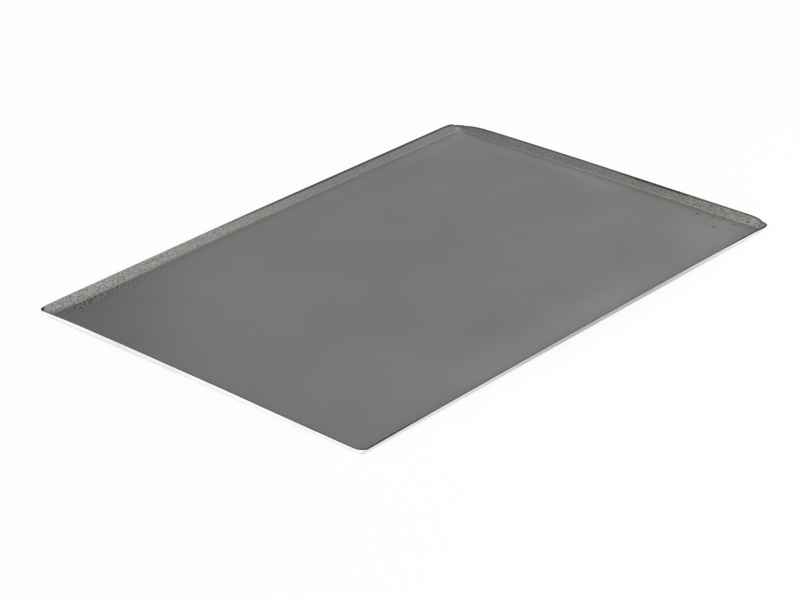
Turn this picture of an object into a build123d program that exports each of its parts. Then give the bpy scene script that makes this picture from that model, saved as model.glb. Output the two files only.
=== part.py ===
from build123d import *
from math import cos, radians, sin
import os

# A baker's sheet, pressed from one piece of steel plate: a flat base and four low edges that lean
# outwards. Lengths are in millimetres and angles in degrees. X runs along the long sides and Y along
# the short sides. The base rests on the plane Z = 0, and the origin is at the middle of its underside.

# The whole sheet, measured over the rounded rim at the middle of each side
sheet_length = 600.0
sheet_width = 400.0
sheet_height = 10.0
plate_thickness = 1.5

# The raised edge: how steeply it stands, how softly it is bent and how its cut edge is rounded
edge_angle = 60.0
bend_inner_radius = 2.5
rim_edge_radius = 0.3

# The corners: the plate is drawn round them, so the rim stays lower there than along the sides
base_corner_radius = 2.5
corner_drop = 2.4
long_side_run = 65.0
short_side_run = 90.0

# How far the slope rises and how far it reaches outwards for each millimetre of its length
rise_share = sin(radians(edge_angle))
reach_share = cos(radians(edge_angle))

# The bend: its outer radius, and how far its inner and outer faces rise and reach outwards
bend_outer_radius = bend_inner_radius + plate_thickness
bend_top = plate_thickness + bend_inner_radius * (1 - reach_share)
bend_reach = bend_inner_radius * rise_share
bend_outer_reach = bend_outer_radius * rise_share

# Rounding the rim takes this much off its top and off its outside
rounding_loss = rim_edge_radius * (rise_share + reach_share - 1)

# The slope, measured up its face: full along the sides, shorter at the corners
side_slope = (sheet_height + rounding_loss - bend_top) / rise_share
corner_slope = side_slope - corner_drop / rise_share

# The flat base ends where the bends start
edge_reach = bend_outer_reach + side_slope * reach_share - rounding_loss
base_half_length = sheet_length / 2 - edge_reach
base_half_width = sheet_width / 2 - edge_reach

# The straight sides end where the turn of the corner starts
side_end_x = base_half_length - base_corner_radius
side_end_y = base_half_width - base_corner_radius

# One quarter of the sheet, on +X and +Y, is drawn and then mirrored. A section plane stands across
# its side, and its x axis points outwards from the end of the flat base. A slope plane lies on the
# inner face of its side, and its y axis points up the slope from the top of the bend.
short_section = Plane(origin=(base_half_length, 0, 0), x_dir=(1, 0, 0), z_dir=(0, -1, 0))
long_section = Plane(origin=(0, base_half_width, 0), x_dir=(0, 1, 0), z_dir=(1, 0, 0))
corner_section = Plane(origin=(base_half_length, side_end_y, 0), x_dir=(1, 0, 0), z_dir=(0, -1, 0))
short_slope = Plane(
    origin=(base_half_length + bend_reach, 0, bend_top),
    x_dir=(0, 1, 0),
    z_dir=(rise_share, 0, -reach_share),
)
long_slope = Plane(
    origin=(0, base_half_width + bend_reach, bend_top),
    x_dir=(1, 0, 0),
    z_dir=(0, -rise_share, reach_share),
)


def bend_arcs():
    """Draw the two faces of the bend in cross-section, and its joint with the flat base."""
    inner = JernArc((0, plate_thickness), (1, 0), bend_inner_radius, edge_angle)
    outer = JernArc((0, 0), (1, 0), bend_outer_radius, edge_angle)
    Line(outer @ 0, inner @ 0)
    return inner, outer


def bend_outline(section):
    """The cross-section of a side's bend, without its slope."""
    with BuildSketch(section) as outline:
        with BuildLine():
            inner, outer = bend_arcs()
            Line(outer @ 1, inner @ 1)
        make_face()
    return outline.sketch


def corner_outline(section):
    """The cross-section of a corner: its bend and its short slope, cut square at the rim."""
    with BuildSketch(section) as outline:
        with BuildLine():
            inner, outer = bend_arcs()
            inner_slope = PolarLine(inner @ 1, corner_slope, edge_angle)
            outer_slope = PolarLine(outer @ 1, corner_slope, edge_angle)
            Line(outer_slope @ 1, inner_slope @ 1)
        make_face()
    return outline.sketch


def slope_outline(slope, side_end, run):
    """Half of a side's slope: level from the middle, then falling in a soft curve to the corner."""
    fall_start = (side_end - run, side_slope)
    fall_middle = (side_end - run / 2, (side_slope + corner_slope) / 2)
    fall_end = (side_end, corner_slope)
    with BuildSketch(slope) as outline:
        with BuildLine():
            Polyline(fall_end, (side_end, 0), (0, 0), (0, side_slope), fall_start)
            first_half = TangentArc(fall_start, fall_middle, tangent=(1, 0))
            TangentArc(fall_middle, fall_end, tangent=first_half % 1)
        make_face()
    return outline.sketch


with BuildPart() as baking_sheet:
    # The flat base
    with BuildSketch() as base_outline:
        Rectangle(base_half_length, base_half_width, align=(Align.MIN, Align.MIN))
        fillet(base_outline.vertices().sort_by_distance((0, 0))[-1], radius=base_corner_radius)
    extrude(amount=plate_thickness)

    # The short side and the long side: a bend, and the slope above it
    extrude(bend_outline(short_section), amount=side_end_y, dir=(0, 1, 0))
    extrude(bend_outline(long_section), amount=side_end_x, dir=(1, 0, 0))
    extrude(slope_outline(short_slope, side_end_y, short_side_run), amount=plate_thickness)
    extrude(slope_outline(long_slope, side_end_x, long_side_run), amount=-plate_thickness)

    # The corner, turned about an upright line
    corner_axis = Axis((side_end_x, side_end_y, 0), (0, 0, 1))
    revolve(corner_outline(corner_section), axis=corner_axis, revolution_arc=90)

    # The other three quarters
    mirror(about=Plane.XZ)
    mirror(about=Plane.YZ)

    # The cut edge of the plate, rounded on both faces all the way round
    rim_level = (plate_thickness + sheet_height - corner_drop) / 2
    rim_edges = baking_sheet.edges().filter_by(
        lambda edge: edge.bounding_box().min.Z > rim_level and edge.length > 2 * plate_thickness
    )
    fillet(rim_edges, radius=rim_edge_radius)

baking_sheet.part.label = "baking_sheet"

os.makedirs("parts", exist_ok=True)
export_step(baking_sheet.part, "parts/baking_sheet.step")
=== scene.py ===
# %% [markdown]
# # A baker's sheet in dark satin steel
#
# The real sheet is one blank of steel plate, pressed so that a low edge stands up on all four sides
# and leans outwards. This lesson models it as one piece of plate: first the face that the dough
# lies on, then the plate's thickness, then its rounded cut edge. After that come the steel's
# finish, the studio and the camera.

from math import atan2, cos, pi, radians, sin

import bmesh
import bpy
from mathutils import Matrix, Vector


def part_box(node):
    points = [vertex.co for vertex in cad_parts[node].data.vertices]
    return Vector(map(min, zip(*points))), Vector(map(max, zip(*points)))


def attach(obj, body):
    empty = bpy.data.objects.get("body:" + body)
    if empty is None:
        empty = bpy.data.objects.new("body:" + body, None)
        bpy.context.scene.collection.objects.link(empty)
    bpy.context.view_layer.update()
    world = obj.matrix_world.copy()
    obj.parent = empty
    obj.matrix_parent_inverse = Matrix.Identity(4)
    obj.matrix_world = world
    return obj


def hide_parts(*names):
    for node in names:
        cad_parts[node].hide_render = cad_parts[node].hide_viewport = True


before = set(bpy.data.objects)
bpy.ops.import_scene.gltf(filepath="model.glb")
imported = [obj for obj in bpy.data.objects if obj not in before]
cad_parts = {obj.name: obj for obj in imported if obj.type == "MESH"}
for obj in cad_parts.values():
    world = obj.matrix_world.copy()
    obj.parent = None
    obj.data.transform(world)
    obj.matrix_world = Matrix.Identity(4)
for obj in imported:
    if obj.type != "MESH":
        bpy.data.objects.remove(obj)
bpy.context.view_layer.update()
sheet_low, sheet_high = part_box("baking_sheet")
print("overall size in mm:", [round(1000 * side, 2) for side in sheet_high - sheet_low])

# %% [markdown]
# ## The sizes
#
# The length, width and height come from the frame, so the sheet always fills the box of the packed
# solid. The rest are the plate's own sizes: its thickness, the lean of its edge, the radius of its
# bend, and the small radius of the flat base's corners. They could also be read off the solid's
# faces, but written out they say plainly what the sheet is made to.

# %% The sizes of the plate
mm = 0.001
sheet_length = sheet_high.x - sheet_low.x
sheet_width = sheet_high.y - sheet_low.y
sheet_height = sheet_high.z - sheet_low.z
plate_thickness = 1.5 * mm
edge_angle = radians(60)
bend_inner_radius = 2.5 * mm
rim_edge_radius = 0.3 * mm
base_corner_radius = 2.5 * mm
print("plate in mm:", plate_thickness / mm, "bent to an inner radius of", bend_inner_radius / mm)

# %% [markdown]
# Everything else follows from these. The slope is the straight part of the edge, from the top of
# the bend to the rim. Rounding the cut takes a little off the rim's height and reach, so the slope
# is made that much longer. The corner's radius grows from the base to the rim by as much as the
# edge reaches outwards. These values could be typed in too, but worked out they always fit
# together.

# %% What follows from them
rise_share = sin(edge_angle)
reach_share = cos(edge_angle)
bend_top = plate_thickness + bend_inner_radius * (1 - reach_share)
bend_reach = bend_inner_radius * rise_share
rounding_loss = rim_edge_radius * (rise_share + reach_share - 1)
rim_top = sheet_height + rounding_loss
side_slope = (rim_top - bend_top) / rise_share
slope_reach = side_slope * reach_share
plate_reach = plate_thickness * rise_share
rim_half_length = sheet_length / 2 - plate_reach + rounding_loss
rim_half_width = sheet_width / 2 - plate_reach + rounding_loss
rim_corner_radius = base_corner_radius + bend_reach + slope_reach
side_end_x = rim_half_length - rim_corner_radius
side_end_y = rim_half_width - rim_corner_radius
print("inner rim in mm:", round(rim_half_length / mm, 3), round(rim_half_width / mm, 3))
print("its corner radius in mm:", round(rim_corner_radius / mm, 3))

# %% [markdown]
# ## The inner face
#
# A press starts from a flat blank and pushes its middle down. The mesh is made the same way: a
# plane the size of the rim gets round corners, and its face is then inset again and again, each
# time a little lower. It could also be built from the base outwards by extruding and scaling, but
# scaling would squash the round corners. Inset keeps every ring parallel to the last one, so the
# corner's radius shrinks from the rim to the base just as the real plate's does.

# %% A plane at the level of the rim, with round corners
corner_segments = 16
bpy.ops.object.select_all(action="DESELECT")
bpy.ops.mesh.primitive_plane_add(size=2, location=(0, 0, rim_top))
sheet = bpy.context.object
sheet.name = "sheet"
sheet.data.name = "sheet"
bpy.ops.object.transform_apply(location=True, rotation=True, scale=True)
bpy.ops.object.mode_set(mode="EDIT")
bpy.ops.mesh.select_all(action="SELECT")
bpy.ops.transform.resize(value=(rim_half_length, rim_half_width, 1))
bpy.ops.mesh.bevel(
    offset=rim_corner_radius, segments=corner_segments, profile=0.5, affect="VERTICES"
)
bpy.ops.object.mode_set(mode="OBJECT")
print("points round the rim:", len(sheet.data.vertices))

# %% [markdown]
# The rim will fall softly towards the corners, and a straight side with a point only at each end
# can't bend. Loop cuts would divide it, but they run on across the whole face. Subdividing the four
# sides puts a hundred points along each, four to six millimetres apart. That too cuts the face into
# strips, so they are dissolved into one face again, which is what inset needs.

# %% Points along the straight sides
side_cuts = 100


def cut_sides(piece, axis, cuts):
    """Divide the two straight sides that run along an axis, its only long edges."""
    bpy.ops.object.mode_set(mode="EDIT")
    bpy.ops.mesh.select_all(action="DESELECT")
    bpy.ops.mesh.select_mode(type="EDGE")
    shape = bmesh.from_edit_mesh(piece.data)
    for edge in shape.edges:
        span = edge.verts[1].co - edge.verts[0].co
        edge.select_set(abs(span[axis]) > rim_half_width)
    shape.select_flush_mode()
    bmesh.update_edit_mesh(piece.data)
    bpy.ops.mesh.subdivide(number_cuts=cuts)
    bpy.ops.object.mode_set(mode="OBJECT")


for axis in (0, 1):
    cut_sides(sheet, axis, side_cuts)
bpy.ops.object.mode_set(mode="EDIT")
bpy.ops.mesh.select_mode(type="FACE")
bpy.ops.mesh.select_all(action="SELECT")
bpy.ops.mesh.dissolve_faces()
bpy.ops.object.mode_set(mode="OBJECT")
print("points round the rim:", len(sheet.data.vertices), "faces:", len(sheet.data.polygons))

# %% [markdown]
# On the real sheet the edge is a straight slope with one round bend below it, and the base is flat.
# A bevel could round the bend afterwards, but it would have to guess at the corners. So one inset
# goes down the slope, and the next eight go round the bend in equal turns. A last one stays level:
# it keeps the soft shading of the bend away from the flat base.

# %% The slope, the bend and the flat base
bend_segments = 8
level_margin = 1.0 * mm


def inset_down(reach, drop):
    """Inset the selected face by a distance and lower what is inside."""
    bpy.ops.mesh.inset(thickness=reach, depth=-drop, use_even_offset=True, use_boundary=True)


bpy.ops.object.mode_set(mode="EDIT")
bpy.ops.mesh.select_mode(type="FACE")
bpy.ops.mesh.select_all(action="SELECT")
inset_down(slope_reach, side_slope * rise_share)
for turn in range(bend_segments):
    angle_above = edge_angle * (1 - turn / bend_segments)
    angle_below = edge_angle * (1 - (turn + 1) / bend_segments)
    reach = bend_inner_radius * (sin(angle_above) - sin(angle_below))
    drop = bend_inner_radius * (cos(angle_below) - cos(angle_above))
    inset_down(reach, drop)
inset_down(level_margin, 0)
bpy.ops.object.mode_set(mode="OBJECT")
lowest = min(vertex.co.z for vertex in sheet.data.vertices)
print("the base lies at", round(lowest / mm, 4), "mm")

# %% [markdown]
# ## The lower rim at the corners
#
# When a press draws plate round a corner, the plate is pulled in and the rim stays lower than along
# the sides. No two corners come out alike. A curve through a few control points could shape each
# fall, but a table is easier to check against the real sheet. It says how many millimetres the rim
# lies below its full height, at ten distances from the end of a corner's arc, first along the long
# side and then along the short side. The two last numbers belong to the middle of the arc: how much
# lower it lies than the arc's ends, and how far it spreads outwards there into a blunt point.

# %% Readings of the rim's fall at each corner, in millimetres
read_at = (0, 2, 6, 13, 25, 50, 90, 150, 250, 350)
corner_readings = {
    # the left corner in the picture
    (-1, 1): (
        (1.5, 1.5, 1.5, 1.3, 1.3, 1.1, 0.9, 0.6, 0, 0),
        (2.8, 2.6, 2.3, 2.1, 1.4, 0.4, 0, 0, 0, 0),
        0,
        2.3,
    ),
    # the far corner
    (1, 1): (
        (3.0, 2.2, 0.5, 0, 0, 0, 0, 0, 0, 0),
        (3.9, 3.5, 2.8, 1.9, 1.1, 0.7, 0.4, 0, 0, 0),
        0.4,
        0,
    ),
    # the right corner
    (1, -1): (
        (3.4, 3.2, 2.8, 2.5, 2.0, 1.5, 0.4, 0, 0, 0),
        (2.2, 1.2, 0.4, 0, 0, 0, 0, 0, 0, 0),
        0,
        1.4,
    ),
    # the near corner
    (-1, -1): (
        (4.3, 4.2, 4.1, 3.9, 3.6, 3.0, 2.4, 1.6, 0.4, 0),
        (2.9, 3.0, 3.1, 3.0, 2.9, 2.7, 2.1, 0.6, 0, 0),
        -0.6,
        0,
    ),
}
for signs, (along, across, arc_extra, arc_spread) in corner_readings.items():
    print("corner", signs, "falls by", max(along + across), "mm and spreads by", arc_spread, "mm")

# %% [markdown]
# The rim is read at ten distances, but its points lie between them too. A smooth curve through the
# readings could overshoot at the steep ones, so the fall runs straight from one reading to the
# next, which is smooth enough at this spacing. Round the arc, the two sides' first readings are
# blended by how far the arc has turned.

# %% The fall between the readings


def reading(readings, gap):
    """The fall at a distance from a corner's arc, on straight lines between its readings."""
    for place in range(len(read_at) - 1):
        share = (gap / mm - read_at[place]) / (read_at[place + 1] - read_at[place])
        if share <= 1:
            share = max(share, 0)
            return (readings[place] * (1 - share) + readings[place + 1] * share) * mm
    return readings[-1] * mm


def corner_change(place, x_sign, y_sign):
    """How far one corner lowers the rim at a place, and how far it spreads it outwards."""
    along, across, arc_extra, arc_spread = corner_readings[x_sign, y_sign]
    gap_x = side_end_x - place.x * x_sign
    gap_y = side_end_y - place.y * y_sign
    if gap_x >= 0 and gap_y >= 0:
        return 0, 0
    if gap_x >= 0:
        return reading(along, gap_x), 0
    if gap_y >= 0:
        return reading(across, gap_y), 0
    turn = atan2(gap_y, gap_x) + pi
    share = 1 - turn / (pi / 2)
    middle_share = sin(2 * turn) ** 2
    lowered = reading(along, 0) * (1 - share) + reading(across, 0) * share
    return lowered + arc_extra * mm * middle_share, arc_spread * mm * middle_share


tip_reach = rim_corner_radius * sin(radians(45))
tip_place = Vector((-side_end_x - tip_reach, side_end_y + tip_reach, rim_top))
tip_fall, tip_spread = corner_change(tip_place, -1, 1)
print("left tip in mm: falls", round(tip_fall / mm, 2), "spreads", round(tip_spread / mm, 2))

# %% [markdown]
# The rim could be lowered straight down, but then the edge would lean less. A real edge keeps its
# lean and only gets shorter, so each point of the rim slides down its own line of the slope. These
# lines are found from the mesh: each rim point has one edge that leads down.

# %% The rim's points slide down their slopes
bpy.ops.object.mode_set(mode="EDIT")
shape = bmesh.from_edit_mesh(sheet.data)
rim_points = [point for point in shape.verts if point.is_boundary]
for point in rim_points:
    slope_line = next(edge for edge in point.link_edges if not edge.is_boundary)
    foot = slope_line.other_vert(point)
    downwards = (foot.co - point.co).normalized()
    place = point.co.copy()
    for x_sign, y_sign in corner_readings:
        lowered, spread = corner_change(place, x_sign, y_sign)
        point.co += downwards * lowered / rise_share
        point.co += Vector((x_sign, y_sign, 0)).normalized() * spread
bmesh.update_edit_mesh(sheet.data)
bpy.ops.object.mode_set(mode="OBJECT")
print("rim points:", len(rim_points))

# %% [markdown]
# The finish changes towards the rim: it gets a painted dark line and a painted highlight there. The
# rim isn't level, so height alone can't say how near it is, and a mask painted by hand would be
# uneven. Instead each point remembers how far it lies below the rim, measured down the slope, in an
# attribute that the steel's material can read.

# %% How far each point lies below the rim
sheet.data.attributes.new("below_rim", "FLOAT", "POINT")
bpy.ops.object.mode_set(mode="EDIT")
shape = bmesh.from_edit_mesh(sheet.data)
below_layer = shape.verts.layers.float["below_rim"]
for point in shape.verts:
    point[below_layer] = side_slope
slope_lengths = []
for point in shape.verts:
    if not point.is_boundary:
        continue
    slope_line = next(edge for edge in point.link_edges if not edge.is_boundary)
    slope_lengths.append(slope_line.calc_length())
    slope_line.other_vert(point)[below_layer] = slope_lengths[-1]
    point[below_layer] = 0
bmesh.update_edit_mesh(sheet.data)
bpy.ops.object.mode_set(mode="OBJECT")
print("slope in mm:", round(min(slope_lengths) / mm, 2), "to", round(max(slope_lengths) / mm, 2))

# %% [markdown]
# ## The plate's thickness and its cut edge
#
# So far there is only the inner face. Offsetting a copy and bridging the gap by hand would work,
# but Solidify does both and keeps the plate equally thick round the bend. It leaves the cut edge
# square to the plate, as shears leave it on a real blank. Bevel then takes the sharpness off both
# edges of the cut, so that they catch a thin line of light. Bevel takes only the edges that turn by
# more than fifty degrees, and soft shading only those that turn by less than thirty, such as the
# steps of the bend.

# %% Thickness, rounded cut edge, soft shading
rounding_segments = 3
bevelled_from = radians(50)
smooth_up_to = radians(30)


def apply_modifier(piece, kind, **settings):
    """Add a modifier with these settings and apply it."""
    modifier = piece.modifiers.new(kind.title(), kind)
    for setting, value in settings.items():
        setattr(modifier, setting, value)
    bpy.ops.object.modifier_apply(modifier=modifier.name)


apply_modifier(sheet, "SOLIDIFY", thickness=plate_thickness, offset=-1, use_even_offset=True)
apply_modifier(
    sheet,
    "BEVEL",
    width=rim_edge_radius,
    segments=rounding_segments,
    limit_method="ANGLE",
    angle_limit=bevelled_from,
)
bpy.ops.object.shade_smooth_by_angle(angle=smooth_up_to)
sheet_places = [vertex.co for vertex in sheet.data.vertices]
for axis in range(3):
    places_on_axis = [place[axis] for place in sheet_places]
    low, high = min(places_on_axis) / mm, max(places_on_axis) / mm
    print("sheet along axis", axis, "in mm:", round(low, 3), "to", round(high, 3))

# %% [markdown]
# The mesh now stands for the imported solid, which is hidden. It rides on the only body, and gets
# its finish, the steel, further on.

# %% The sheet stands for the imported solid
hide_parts("baking_sheet")
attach(sheet, "root")

# %% [markdown]
# ## The steel
#
# A baker's sheet is carbon steel plate, oiled and baked until it is dark grey. It is neither a
# mirror nor a paint: part of its light comes off bare metal, and part off the thin baked skin on
# it. One dark metal colour would be too glossy and a plain grey would look like card, so the shader
# stays about a third metal, with a soft gloss. All detail is added as nodes that read the sheet's
# own places. They could be wired by hand in the shader editor, but there are more than two hundred,
# so a few helpers keep the work short.

# %% A node tree, and helpers that add and wire nodes
steel = bpy.data.materials.new("satin_dark_steel")
steel.use_nodes = True
steel_tree = steel.node_tree
steel_shader = steel_tree.nodes["Principled BSDF"]


def add_node(tree, kind, **settings):
    """Add a node and set its plain settings."""
    node = tree.nodes.new(kind)
    for setting, value in settings.items():
        setattr(node, setting, value)
    return node


def plug(tree, socket, value):
    """Link a value to a socket if it comes from a node, or else write it there."""
    if isinstance(value, bpy.types.NodeSocket):
        tree.links.new(value, socket)
    else:
        socket.default_value = value


def feed(tree, node, **inputs):
    """Set or link a node's inputs, whose names are written with low lines for spaces."""
    for name, value in inputs.items():
        plug(tree, node.inputs[name.replace("_", " ")], value)


print("inputs of the steel's shader:", len(steel_shader.inputs))

# %% [markdown]
# A wear mask is worked out like any sum. Where a scuff lies is one mask times another, and where
# any of several spots lies is the largest of their masks. A Math node takes only two values, so
# these helpers chain as many as are needed.

# %% Helpers for sums


def calculate(tree, operation, first, second=0):
    """Combine two values with one sum."""
    node = add_node(tree, "ShaderNodeMath", operation=operation)
    plug(tree, node.inputs[0], first)
    plug(tree, node.inputs[1], second)
    return node.outputs["Value"]


def combine(operation, values):
    """Combine any number of values with the same sum, one after another."""
    result = values[0]
    for value in values[1:]:
        result = calculate(steel_tree, operation, result, value)
    return result


def total(*values):
    """The sum of several values."""
    return combine("ADD", values)


def times(*values):
    """The product of several values."""
    return combine("MULTIPLY", values)


def largest(*values):
    """The largest of several values."""
    return combine("MAXIMUM", values)


print("nodes so far:", len(steel_tree.nodes))

# %% [markdown]
# Wear has no hard borders, so every mask rises or fades over a few millimetres. A Color Ramp could
# do that, but a Map Range node takes its two ends as plain numbers, and its smooth step starts and
# ends softly.

# %% Helpers for soft borders


def between(value, low, high, to_low=0, to_high=1):
    """Map a value from one range to another, softly and with both ends held."""
    node = add_node(steel_tree, "ShaderNodeMapRange", interpolation_type="SMOOTHSTEP")
    feed(steel_tree, node, Value=value, From_Min=low, From_Max=high, To_Min=to_low, To_Max=to_high)
    return node.outputs["Result"]


def fading(value, start, end):
    """1 up to the start of a range and 0 beyond its end."""
    return between(value, start, end, to_low=1, to_high=0)


print("nodes so far:", len(steel_tree.nodes))

# %% [markdown]
# The finish needs to know three things about each place: where it is, which way it faces, and how
# far it lies below the rim. Object coordinates, the surface normal and the attribute give these,
# and all three stay with the sheet wherever the camera stands.

# %% Places, facings and the distance below the rim
places = add_node(steel_tree, "ShaderNodeTexCoord").outputs["Object"]
place_parts = add_node(steel_tree, "ShaderNodeSeparateXYZ")
feed(steel_tree, place_parts, Vector=places)
x_place, y_place, z_place = place_parts.outputs
facings = add_node(steel_tree, "ShaderNodeNewGeometry").outputs["Normal"]
facing_parts = add_node(steel_tree, "ShaderNodeSeparateXYZ")
feed(steel_tree, facing_parts, Vector=facings)
x_facing, _, z_facing = facing_parts.outputs
from_rim = add_node(steel_tree, "ShaderNodeAttribute", attribute_name="below_rim").outputs["Fac"]
print("nodes so far:", len(steel_tree.nodes))

# %% [markdown]
# Dark steel is never one even tone. Oil bakes on in clouds as wide as a hand, with blotches of a
# thumb's size in them. The metal has a grain under a millimetre, and fine lines from the rolling
# mill along its length. A painted picture could carry all this, but noise at these four scales
# gives it at any size. The rolling lines are noise whose places are squeezed along X. Speckle is a
# harder noise, kept for where the sheet is worn, and pits are a coarser one, for one corner of the
# base.

# %% Clouds, blotches, grain, rolling lines, speckle and pits
squeezed_along_x = (0.05, 1, 1)


def noise(scale, detail, low, high, vector=places):
    """A noise from -1 to 1 of a given scale, in features per metre."""
    node = add_node(steel_tree, "ShaderNodeTexNoise")
    feed(steel_tree, node, Vector=vector, Scale=scale, Detail=detail, Roughness=0.5)
    return between(node.outputs["Fac"], low, high, to_low=-1, to_high=1)


rolled = add_node(steel_tree, "ShaderNodeVectorMath", operation="MULTIPLY")
plug(steel_tree, rolled.inputs[0], places)
plug(steel_tree, rolled.inputs[1], squeezed_along_x)
clouds = noise(scale=7, detail=2, low=0.3, high=0.7)
blotches = noise(scale=45, detail=3, low=0.3, high=0.7)
grain = noise(scale=900, detail=2, low=0.25, high=0.75)
rolling_lines = noise(scale=1200, detail=1, low=0.3, high=0.7, vector=rolled.outputs["Vector"])
speckle = noise(scale=760, detail=2, low=0.4, high=0.6)
pits = noise(scale=520, detail=2, low=0.4, high=0.6)
print("noises:", sum(node.bl_idname == "ShaderNodeTexNoise" for node in steel_tree.nodes))

# %% [markdown]
# The parts of the sheet wear in their own ways. The raised edges are handled and scraped, and the
# base stays dull. The bends get a painted highlight, standing in for the light they catch. These
# masks say which part a place belongs to. They come from its height and its distance from the
# middle, because those are the sizes that the sheet was built from.

# %% The parts of the sheet
inner_face = between(z_facing, -0.3, 0.0)
level_face = between(z_facing, 0.8, 1.0)
on_base = calculate(steel_tree, "LESS_THAN", z_place, 2.2 * mm)
on_back_edge = times(inner_face, between(y_place, 192 * mm, 194 * mm))
on_right_edge = times(inner_face, between(x_place, 291.5 * mm, 293.5 * mm))
handled_edges = largest(on_back_edge, on_right_edge)
by_back_edge = between(y_place, 162 * mm, 192 * mm)
by_right_edge = between(x_place, 262 * mm, 292 * mm)
low_down = fading(z_place, 1.8 * mm, 2.6 * mm)
brighter_to_right = between(x_place, -250 * mm, 200 * mm)
brighter_to_front = times(
    between(y_place, 20 * mm, 110 * mm, to_low=1, to_high=0.4),
    between(y_place, -185 * mm, -160 * mm, to_low=0.3, to_high=1),
)
# Painted highlight on the bends of the back and right edges, in place of the light they catch.
bend_highlight_back = times(by_back_edge, brighter_to_right)
bend_highlight_right = times(by_right_edge, brighter_to_front)
painted_bend_highlight = times(low_down, largest(bend_highlight_back, bend_highlight_right))
print("nodes so far:", len(steel_tree.nodes))

# %% [markdown]
# This sheet has marks of its own. One end of the back edge and one end of the right edge are
# scuffed grey and speckled. Beside the left scuff, painted light runs a few millimetres onto the
# foot of the bend, more so towards the tip, where the bend catches the light. The right scuff has a
# trace of brown from baked oil. Both scuffs fade out along their edges. A picture of scratches
# could be laid over them, but masks follow the bend wherever it lies.

# %% Scuffs
foot_drift = between(x_place, -290 * mm, -20 * mm, to_low=2.1 * mm, to_high=0)
foot_place = total(y_place, foot_drift)
back_scuff_width = between(foot_place, 189.5 * mm, 191.5 * mm)
scuffed_back = times(back_scuff_width, fading(x_place, -215 * mm, 60 * mm))
scuffed_right = times(on_right_edge, fading(y_place, -170 * mm, 20 * mm))
scuffed = times(inner_face, largest(scuffed_back, scuffed_right))
# Painted light on the foot of the back edge's bend, at its left end.
painted_light_on_foot = times(
    level_face,
    between(foot_place, 191 * mm, 192.5 * mm),
    between(x_place, -285 * mm, -235 * mm, to_low=0.5, to_high=1),
)
foot_fade = fading(x_place, -250 * mm, -20 * mm)
print("nodes so far:", len(steel_tree.nodes))

# %% [markdown]
# The base has painted shade in one corner, where it is also faintly pitted. It is a little paler or
# darker in some places, has painted light along two of its sides, where the raised edges shade it,
# and a few small dark dots. Near the far and right corners it gets painted highlights, and the left
# tip of the rim a painted dark reflection. A picture could carry them, but each mark is a round
# patch at a measured place here, or a soft band, so it can be moved by changing a number.

# %% Patches, bands, spots and dots


def patch(x, y, radius, solid_share=0.3, height=4):
    """1 near a place on the sheet and 0 beyond a radius, all in millimetres."""
    node = add_node(steel_tree, "ShaderNodeVectorMath", operation="DISTANCE")
    plug(steel_tree, node.inputs[0], places)
    plug(steel_tree, node.inputs[1], (x * mm, y * mm, height * mm))
    return fading(node.outputs["Value"], radius * solid_share * mm, radius * mm)


# Painted shade on the base at the left end of the back edge.
painted_corner_shade = times(on_base, patch(-275, 175, 150, solid_share=0))
pitted = times(
    on_base, patch(-232, 186, 60, solid_share=0.4), between(y_place, 172 * mm, 184 * mm)
)
# Painted light on the base along the right edge's bend, where the edge shades it.
right_light_length = times(
    between(y_place, -40 * mm, 40 * mm),
    between(y_place, 115 * mm, 155 * mm, to_low=1, to_high=0.3),
)
painted_right_light = times(level_face, between(x_place, 264 * mm, 290 * mm), right_light_length)
# Painted light on the base along the front edge, where the edge shades it.
from_front_middle = calculate(steel_tree, "ABSOLUTE", total(x_place, 20 * mm))
painted_front_light = times(
    on_base,
    fading(y_place, -188 * mm, -130 * mm),
    between(from_front_middle, 90 * mm, 170 * mm, to_low=1, to_high=0.25),
)
pale_patches = largest(
    patch(284, -5, 45),
    patch(250, -155, 50),
    patch(296, -165, 45),
    patch(272, 175, 100),
    patch(-175, -115, 100),
)
dark_patches = largest(patch(215, -5, 65), patch(190, -128, 65), patch(-292, 62, 80))
# Painted highlights near the far and right corners.
painted_highlights = largest(
    patch(289, 191, 7), patch(297, -181, 6), patch(259, -158, 4), patch(254, -164, 4)
)
dot_places = ((267, -154), (282, -124), (286, -140), (290, -150), (291, -158), (284, -166))
dark_dots = largest(*(patch(x, y, 3.4, solid_share=0.75) for x, y in dot_places))
# A painted dark reflection at the left tip of the rim.
painted_dark_tip = patch(-298.5, 198.5, 6, solid_share=0.5, height=7)
print("nodes so far:", len(steel_tree.nodes))

# %% [markdown]
# Along the back edge's right half and the right edge, the plate just inside the rim gets a painted
# shade, nearly black, most of all on one short stretch. The front edge gets painted shade too by
# the right tip, on the cut and just below it, and the cut itself gets it at the sheet's right end
# and at the front's left end. The rounded inner edge of the cut gets a thin painted highlight.
# Height couldn't place these on the uneven rim, but the attribute from above can.

# %% The rim's painted shade, its cut and its painted highlight
right_rim_shade = 0.7
cut_face = fading(from_rim, 0.2 * mm, 0.5 * mm)
round_cut = fading(from_rim, 0.6 * mm, 1.4 * mm)
just_inside = fading(from_rim, 1.0 * mm, 2.3 * mm)
by_rim = fading(from_rim, 1.8 * mm, 3.2 * mm)
# Painted shade just inside the rim, nearly black, on the back edge's right half and the right edge.
rim_shade_back = times(on_back_edge, between(x_place, -120 * mm, 60 * mm))
rim_shade_right = times(on_right_edge, right_rim_shade)
painted_rim_shade = times(just_inside, largest(rim_shade_back, rim_shade_right))
from_stretch = calculate(steel_tree, "ABSOLUTE", total(y_place, 62 * mm))
rim_shade_stretch = times(on_right_edge, fading(from_stretch, 20 * mm, 60 * mm))
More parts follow.
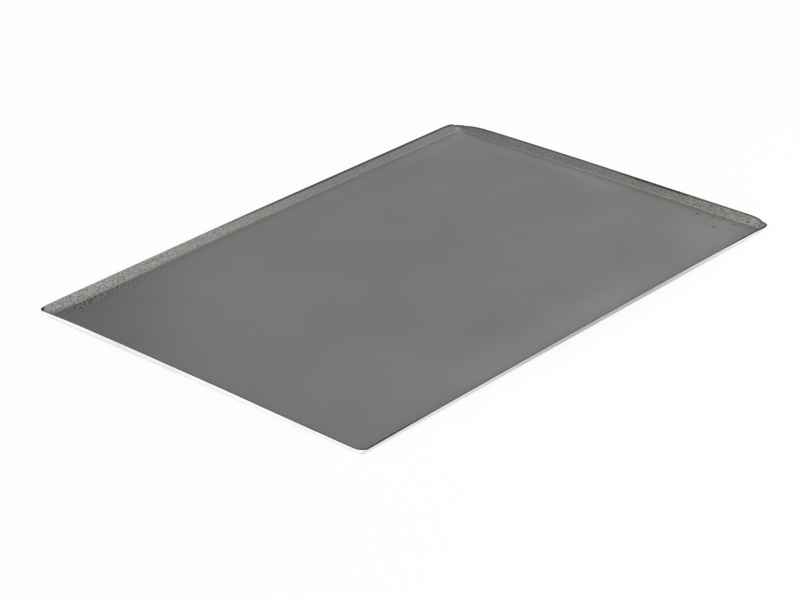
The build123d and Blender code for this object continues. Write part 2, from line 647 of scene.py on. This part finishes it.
# Painted shade on parts of the cut, and on the front edge by the right tip.
on_front_cut = fading(y_place, -198 * mm, -192 * mm)
front_left = times(on_front_cut, fading(x_place, -260 * mm, -200 * mm))
painted_cut_shade = times(cut_face, largest(between(x_place, 200 * mm, 265 * mm), front_left))
painted_tip_shade = times(round_cut, on_front_cut, between(x_place, 273 * mm, 283 * mm))
# A thin painted highlight on the cut's rounded inner edge.
glint_start = between(from_rim, 0.02 * mm, 0.12 * mm)
glint_end = fading(from_rim, 0.3 * mm, 0.6 * mm)
painted_rim_highlight = times(glint_start, glint_end)
print("nodes so far:", len(steel_tree.nodes))

# %% [markdown]
# All of these change how light the steel is, not what colour it is. Some are the steel's own marks,
# and some are painted light, shade and highlights. So they are added up into one factor round 1,
# which the colour is multiplied by. Mixing in a colour for each would take many more nodes, and
# would be harder to balance. In the table, each mark stands with its strength: above zero it
# lightens the steel, and below zero it darkens it.

# %% The steel's tone
marks = (
    # the steel's own unevenness
    (0.04, clouds),
    (0.02, blotches),
    (0.05, grain),
    (0.02, rolling_lines),
    # the raised edges, their scuffs, and painted light on the back and right edges
    (0.22, speckle, handled_edges),
    (0.44, speckle, scuffed),
    (0.2, scuffed),
    (0.22, scuffed_right),
    (1.1, painted_light_on_foot, foot_fade),
    # painted light: the back edge lighter, most of all at its left, and the right edge lighter away
    # from the far corner
    (0.31, on_back_edge),
    (0.3, on_back_edge, fading(x_place, -100 * mm, 150 * mm)),
    (0.2, on_right_edge, fading(y_place, 100 * mm, 150 * mm)),
    # the base and its bends: pits and dots, and painted light, shade and highlights
    (0.46, pits, pitted),
    (0.3, painted_bend_highlight),
    (-0.38, painted_corner_shade),
    (0.1, pale_patches),
    (-0.1, dark_patches),
    (0.55, painted_highlights),
    (-0.75, dark_dots),
    (0.28, painted_front_light),
    (0.26, painted_right_light),
    # the rim: a painted dark tip, a painted highlight and painted shade
    (-2.6, painted_dark_tip),
    (0.35, painted_rim_highlight),
    (-0.9, by_rim, rim_shade_stretch),
    (-0.3, by_rim, rim_shade_back),
    (-0.3, painted_cut_shade),
)
tone = total(1, *(times(*masks, strength) for strength, *masks in marks))
print("marks:", len(marks), "nodes so far:", len(steel_tree.nodes))

# %% [markdown]
# The outer faces of the edges get a painted reflection of the white table, in a pale colour that is
# nearly white. They are the faces that look downwards. The painted reflection is dimmer in the
# middle of the long sides, and the foot of the bend keeps the dark skin there, as painted shade
# where it meets the table. The left side gets the brightest painted reflection, down to its foot. A
# second material could be set on these faces, but the border would be hard, and masks let one
# finish run into the other.

# %% Painted reflection on the outer faces
left_foot_share = 0.9
faces_down = fading(z_facing, -0.3, 0.0)
faces_left = fading(x_facing, -0.7, -0.2)
# Painted shade: the foot of the bend keeps the dark skin.
clear_of_foot_shade = between(z_place, 0.6 * mm, 2.4 * mm)
not_tip_shade = total(1, times(painted_tip_shade, -1))
clear_of_foot_shade_or_left = largest(clear_of_foot_shade, times(faces_left, left_foot_share))
painted_reflection = times(faces_down, clear_of_foot_shade_or_left, not_tip_shade)
from_middle = calculate(steel_tree, "ABSOLUTE", total(x_place, -40 * mm))
dimmer_middle = fading(from_middle, 40 * mm, 265 * mm)
print("nodes so far:", len(steel_tree.nodes))

# %% [markdown]
# The baked skin comes first, then the cut, then the painted dark line, and the painted reflection
# covers all of them. The colours are mixed in that order: skin, cut, painted dark line, and painted
# reflection over everything. Adding them up would give colours that no part of the sheet has. The
# tone is multiplied in last.

# %% The colours, mixed
dark_skin = (0.1455, 0.146, 0.139, 1)
brown_skin = (0.152, 0.145, 0.136, 1)
cut_steel = (0.11, 0.11, 0.107, 1)
painted_shade_colour = (0.03, 0.03, 0.029, 1)
long_side_reflection = (0.7, 0.7, 0.69, 1)
dim_long_side_reflection = (0.4, 0.4, 0.392, 1)
left_side_reflection = (0.95, 0.95, 0.94, 1)


def mixed_colour(factor, first, second):
    """Mix two colours by a factor. Inputs are taken by number, as several share a name."""
    node = add_node(steel_tree, "ShaderNodeMix", data_type="RGBA")
    factor_socket, first_socket, second_socket = node.inputs[0], node.inputs[6], node.inputs[7]
    plug(steel_tree, factor_socket, factor)
    plug(steel_tree, first_socket, first)
    plug(steel_tree, second_socket, second)
    return node.outputs[2]


skin = mixed_colour(scuffed_right, dark_skin, brown_skin)
skin = mixed_colour(cut_face, skin, cut_steel)
skin = mixed_colour(largest(painted_rim_shade, painted_cut_shade, painted_tip_shade), skin, painted_shade_colour)
reflection_colour = mixed_colour(dimmer_middle, long_side_reflection, dim_long_side_reflection)
reflection_colour = mixed_colour(faces_left, reflection_colour, left_side_reflection)
steel_colour = mixed_colour(painted_reflection, skin, reflection_colour)
toned = add_node(steel_tree, "ShaderNodeVectorMath", operation="SCALE")
plug(steel_tree, toned.inputs[0], steel_colour)
plug(steel_tree, toned.inputs["Scale"], tone)
plug(steel_tree, steel_shader.inputs["Base Color"], toned.outputs["Vector"])
print("nodes so far:", len(steel_tree.nodes))

# %% [markdown]
# Blotches of baked oil are a little less glossy than the steel between them, and scuffs less again.
# A bump of three hundredths of a millimetre raises the grain and the rolling lines. Real
# displacement would need millions of faces for relief that fine, and no outline would show it.

# %% Gloss and relief
satin = 0.5
metal_share = 0.35
skin_gloss = 0.3
bump_strength = 0.25
bump_height = 0.03 * mm
roughness = total(satin, times(blotches, 0.03), times(grain, 0.03), times(scuffed, 0.06))
plug(steel_tree, steel_shader.inputs["Roughness"], roughness)
steel_shader.inputs["Metallic"].default_value = metal_share
steel_shader.inputs["Specular IOR Level"].default_value = skin_gloss
relief = add_node(steel_tree, "ShaderNodeBump")
relief_height = total(grain, times(rolling_lines, 0.6), times(speckle, scuffed, 1.5))
feed(steel_tree, relief, Height=relief_height, Strength=bump_strength, Distance=bump_height)
plug(steel_tree, steel_shader.inputs["Normal"], relief.outputs["Normal"])
sheet.data.materials.clear()
sheet.data.materials.append(steel)
print("nodes in the steel:", len(steel_tree.nodes))

# %% [markdown]
# ## The studio
#
# The sheet lies on a white table in a white room, so bright that only the faintest shadow shows.
# More light would do that too, but it would bleach the steel. Instead the floor looks nearly white
# to the camera and in reflections, while it lights the sheet as any white floor does. About a
# seventh of what the camera sees is still the lit floor itself, and that part keeps the shadow.

# %% The floor
white = (1, 1, 1, 1)
floor_size = 30
floor_glow_share = 0.86
bpy.ops.object.select_all(action="DESELECT")
bpy.ops.mesh.primitive_plane_add(size=floor_size, location=(0, 0, 0))
floor = bpy.context.object
floor.name = "floor"
floor_white = bpy.data.materials.new("floor_white")
floor_white.use_nodes = True
floor_tree = floor_white.node_tree
floor_shader = floor_tree.nodes["Principled BSDF"]
feed(floor_tree, floor_shader, Base_Color=white, Roughness=1, Specular_IOR_Level=0)


def seen_directly(tree):
    """1 for what the camera sees straight on, in a reflection or through glass, 0 for light."""
    rays = add_node(tree, "ShaderNodeLightPath").outputs
    seen = calculate(tree, "MAXIMUM", rays["Is Camera Ray"], rays["Is Glossy Ray"])
    return calculate(tree, "MAXIMUM", seen, rays["Is Transmission Ray"])


def mix_shaders(tree, factor, first, second):
    """Mix two shaders by a factor."""
    node = add_node(tree, "ShaderNodeMixShader")
    for socket, value in zip(node.inputs, (factor, first, second)):
        tree.links.new(value, socket)
    return node.outputs["Shader"]


glow = add_node(floor_tree, "ShaderNodeEmission")
feed(floor_tree, glow, Color=white, Strength=1)
glow_factor = calculate(floor_tree, "MULTIPLY", seen_directly(floor_tree), floor_glow_share)
floor_mix = mix_shaders(floor_tree, glow_factor, floor_shader.outputs[0], glow.outputs[0])
floor_tree.links.new(floor_mix, floor_tree.nodes["Material Output"].inputs["Surface"])
floor.data.materials.append(floor_white)
print("floor:", floor_size, "m wide")

# %% [markdown]
# The room is the same: white to the camera and in the steel, and a soft even light for everything
# else. A picture of a real studio could light it too, but its windows would show in the satin. One
# even light from all round is the plainest studio there is.

# %% The room
room_light = 0.72
room = bpy.data.worlds.new("studio")
bpy.context.scene.world = room
room.use_nodes = True
room_tree = room.node_tree
lighting = room_tree.nodes["Background"]
feed(room_tree, lighting, Color=white, Strength=room_light)
backdrop = add_node(room_tree, "ShaderNodeBackground")
feed(room_tree, backdrop, Color=white, Strength=1)
room_seen = seen_directly(room_tree)
room_mix = mix_shaders(room_tree, room_seen, lighting.outputs[0], backdrop.outputs[0])
room_tree.links.new(room_mix, room_tree.nodes["World Output"].inputs["Surface"])
print("room light:", room_light)

# %% [markdown]
# An even room alone leaves flat steel flat. In the picture the base grows lighter to the right, the
# back edge is the lightest part, and the left side's outer face is as white as the table. Four
# large soft boxes do that, each placed where the part it lights reflects it. Small lamps would put
# hard glints on the satin. The boxes are hidden from the camera, so that low views don't show them.

# %% Soft boxes


def soft_box(name, place, aim, side, power):
    """A square studio lamp of a given side and power that faces a point."""
    lamp_data = bpy.data.lights.new(name, "AREA")
    lamp_data.shape = "SQUARE"
    lamp_data.size = side
    lamp_data.energy = power
    lamp = bpy.data.objects.new(name, lamp_data)
    bpy.context.scene.collection.objects.link(lamp)
    lamp.location = place
    lamp.rotation_euler = (Vector(aim) - Vector(place)).to_track_quat("-Z", "Y").to_euler()
    lamp.visible_camera = False
    print(name, "stands", round(Vector(place).length, 2), "m away and gives", power, "W")


soft_box("right_box", place=(1.4, 0.4, 0.6), aim=(0.3, -0.1, 0), side=0.7, power=1.05)
soft_box("front_box", place=(0.35, -1.45, 0.35), aim=(-0.2, 0.2, 0), side=0.9, power=12.5)
soft_box("back_box", place=(0.2, 0.85, 1.0), aim=(0.29, 0, 0), side=0.6, power=1.2)
soft_box("left_box", place=(-1.6, 0.45, 0.35), aim=(0.3, -0.1, 0), side=0.8, power=5.5)

# %% [markdown]
# ## The camera
#
# The picture was taken from in front and to the left, a little over two metres away and from about
# one metre up, with a long lens that hardly narrows the far side. The place, the aim and the lens
# could be tried one by one, but each can be traded for another. So they were worked out together
# from the four lines of the rim.

# %% The camera
camera_place = Vector((-1.6433, -1.4192, 1.0439))
camera_aim = Vector((-0.0561, -0.0274, 0))
sensor_width = 36
lens_length = 114.3
farthest_seen = 100
camera_data = bpy.data.cameras.new("camera")
camera_data.sensor_width = sensor_width
camera_data.lens = lens_length
camera_data.clip_end = farthest_seen
camera = bpy.data.objects.new("camera", camera_data)
bpy.context.scene.collection.objects.link(camera)
camera.location = camera_place
camera.rotation_euler = (camera_aim - camera_place).to_track_quat("-Z", "Y").to_euler()
bpy.context.scene.camera = camera
print("camera distance:", round((camera_aim - camera_place).length, 2), "m")

# %% [markdown]
# ## The end
#
# The Standard view shows colours as they are written, where the usual one would grey the white
# table.

bpy.context.scene.view_settings.view_transform = "Standard"
